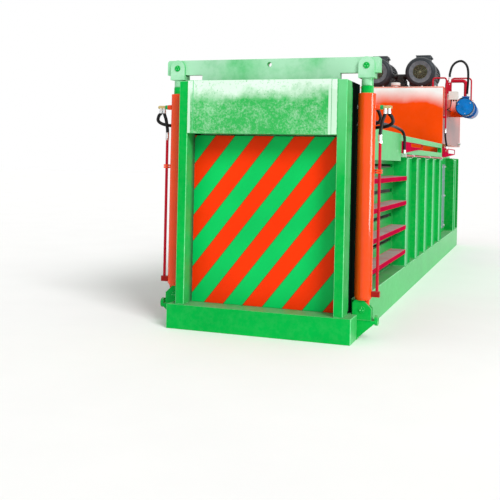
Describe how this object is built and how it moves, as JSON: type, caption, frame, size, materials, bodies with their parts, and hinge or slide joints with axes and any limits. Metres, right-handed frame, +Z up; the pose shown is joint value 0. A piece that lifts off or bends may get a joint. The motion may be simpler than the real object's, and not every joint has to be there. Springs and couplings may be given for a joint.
{
  "type": "recycling baler",
  "caption": "Horizontal recycling baler with a ribbed steel pressing chamber, lifting front gate, slotted strapping walls, top feed opening and roof-top hydraulic power pack.",
  "frame": {"origin": "middle of the underside of the front cross beam, on the floor", "axes": "+Z up, +Y from the gate to the rear head, +X to the right seen from the front"},
  "size_m": [2.2027, 8.5, 3.105],
  "materials": {
    "green": "gloss machine paint",
    "red": "gloss machine paint",
    "orange": "gloss machine paint",
    "steel": "machined steel",
    "worn": "worn plate steel",
    "motor": "satin motor paint",
    "blue": "satin motor paint",
    "cream": "pale paint",
    "rubber": "hydraulic hose"
  },
  "bodies": {
    "frame": {"front_beam": "green", "skid_left": "green", "skid_right": "green", "lift_feet": "green", "strap_wall_left": "green", "strap_wall_right": "green", "side_walls": "green", "wall_ribs_left": "green", "wall_ribs_right": "green", "gate_columns": "green", "mouth_posts": "green", "header_box": "green", "roof_plates": "green", "shear_beam": "green", "hopper_rim_left": "green", "hopper_rim_right": "green", "rear_head": "green", "floor_bearers": "green", "foot_pins": "green", "glands": "green", "strap_shelves_left": "red", "strap_shelves_right": "red", "rim_lugs": "red", "hard_pipes": "red", "main_barrel": "orange", "lift_barrel_left": "orange", "lift_barrel_right": "orange", "tank_stand": "orange", "oil_tank": "orange", "tank_lid": "orange", "fixed_knife": "steel", "hose_fittings": "steel", "floor_plate": "worn", "access_covers": "worn", "motor_left": "motor", "motor_right": "motor", "cowl_left": "motor", "cowl_right": "motor", "main_pumps": "motor", "valve_block": "motor", "circulation_motor": "blue", "breather_cap": "cream", "junction_box": "cream", "hoses": "rubber"},
    "gate": {"gate_panel": "green", "gate_bars": "green", "gate_yoke": "green", "rod_clevises": "green", "clevis_pins": "green", "lift_rods": "steel"},
    "ram": {"ram_shell": "worn", "ram_face": "worn", "ram_knife": "steel", "wear_strips": "worn", "main_rod": "steel"},
    "fan_left": {"fan_left": "motor"},
    "fan_right": {"fan_right": "motor"},
    "circulation_fan": {"circulation_fan": "blue"}
  },
  "joints": [
    {"name": "gate_lift", "type": "slide", "parent": "frame", "child": "gate", "axis": [0, 0, 1], "range_m": [0, 1.3]},
    {"name": "ram_stroke", "type": "slide", "parent": "frame", "child": "ram", "axis": [0, -1, 0], "range_m": [0, 2.3]},
    {"name": "fan_left_spin", "type": "hinge", "parent": "frame", "child": "fan_left", "pos_m": [-0.367, 6.65, 2.82], "axis": [0, 1, 0], "continuous": true},
    {"name": "fan_right_spin", "type": "hinge", "parent": "frame", "child": "fan_right", "pos_m": [0.319, 6.65, 2.82], "axis": [0, 1, 0], "continuous": true},
    {"name": "circulation_fan_spin", "type": "hinge", "parent": "frame", "child": "circulation_fan", "pos_m": [1.033, 6.27, 2.25], "axis": [0, 1, 0], "continuous": true}
  ]
}
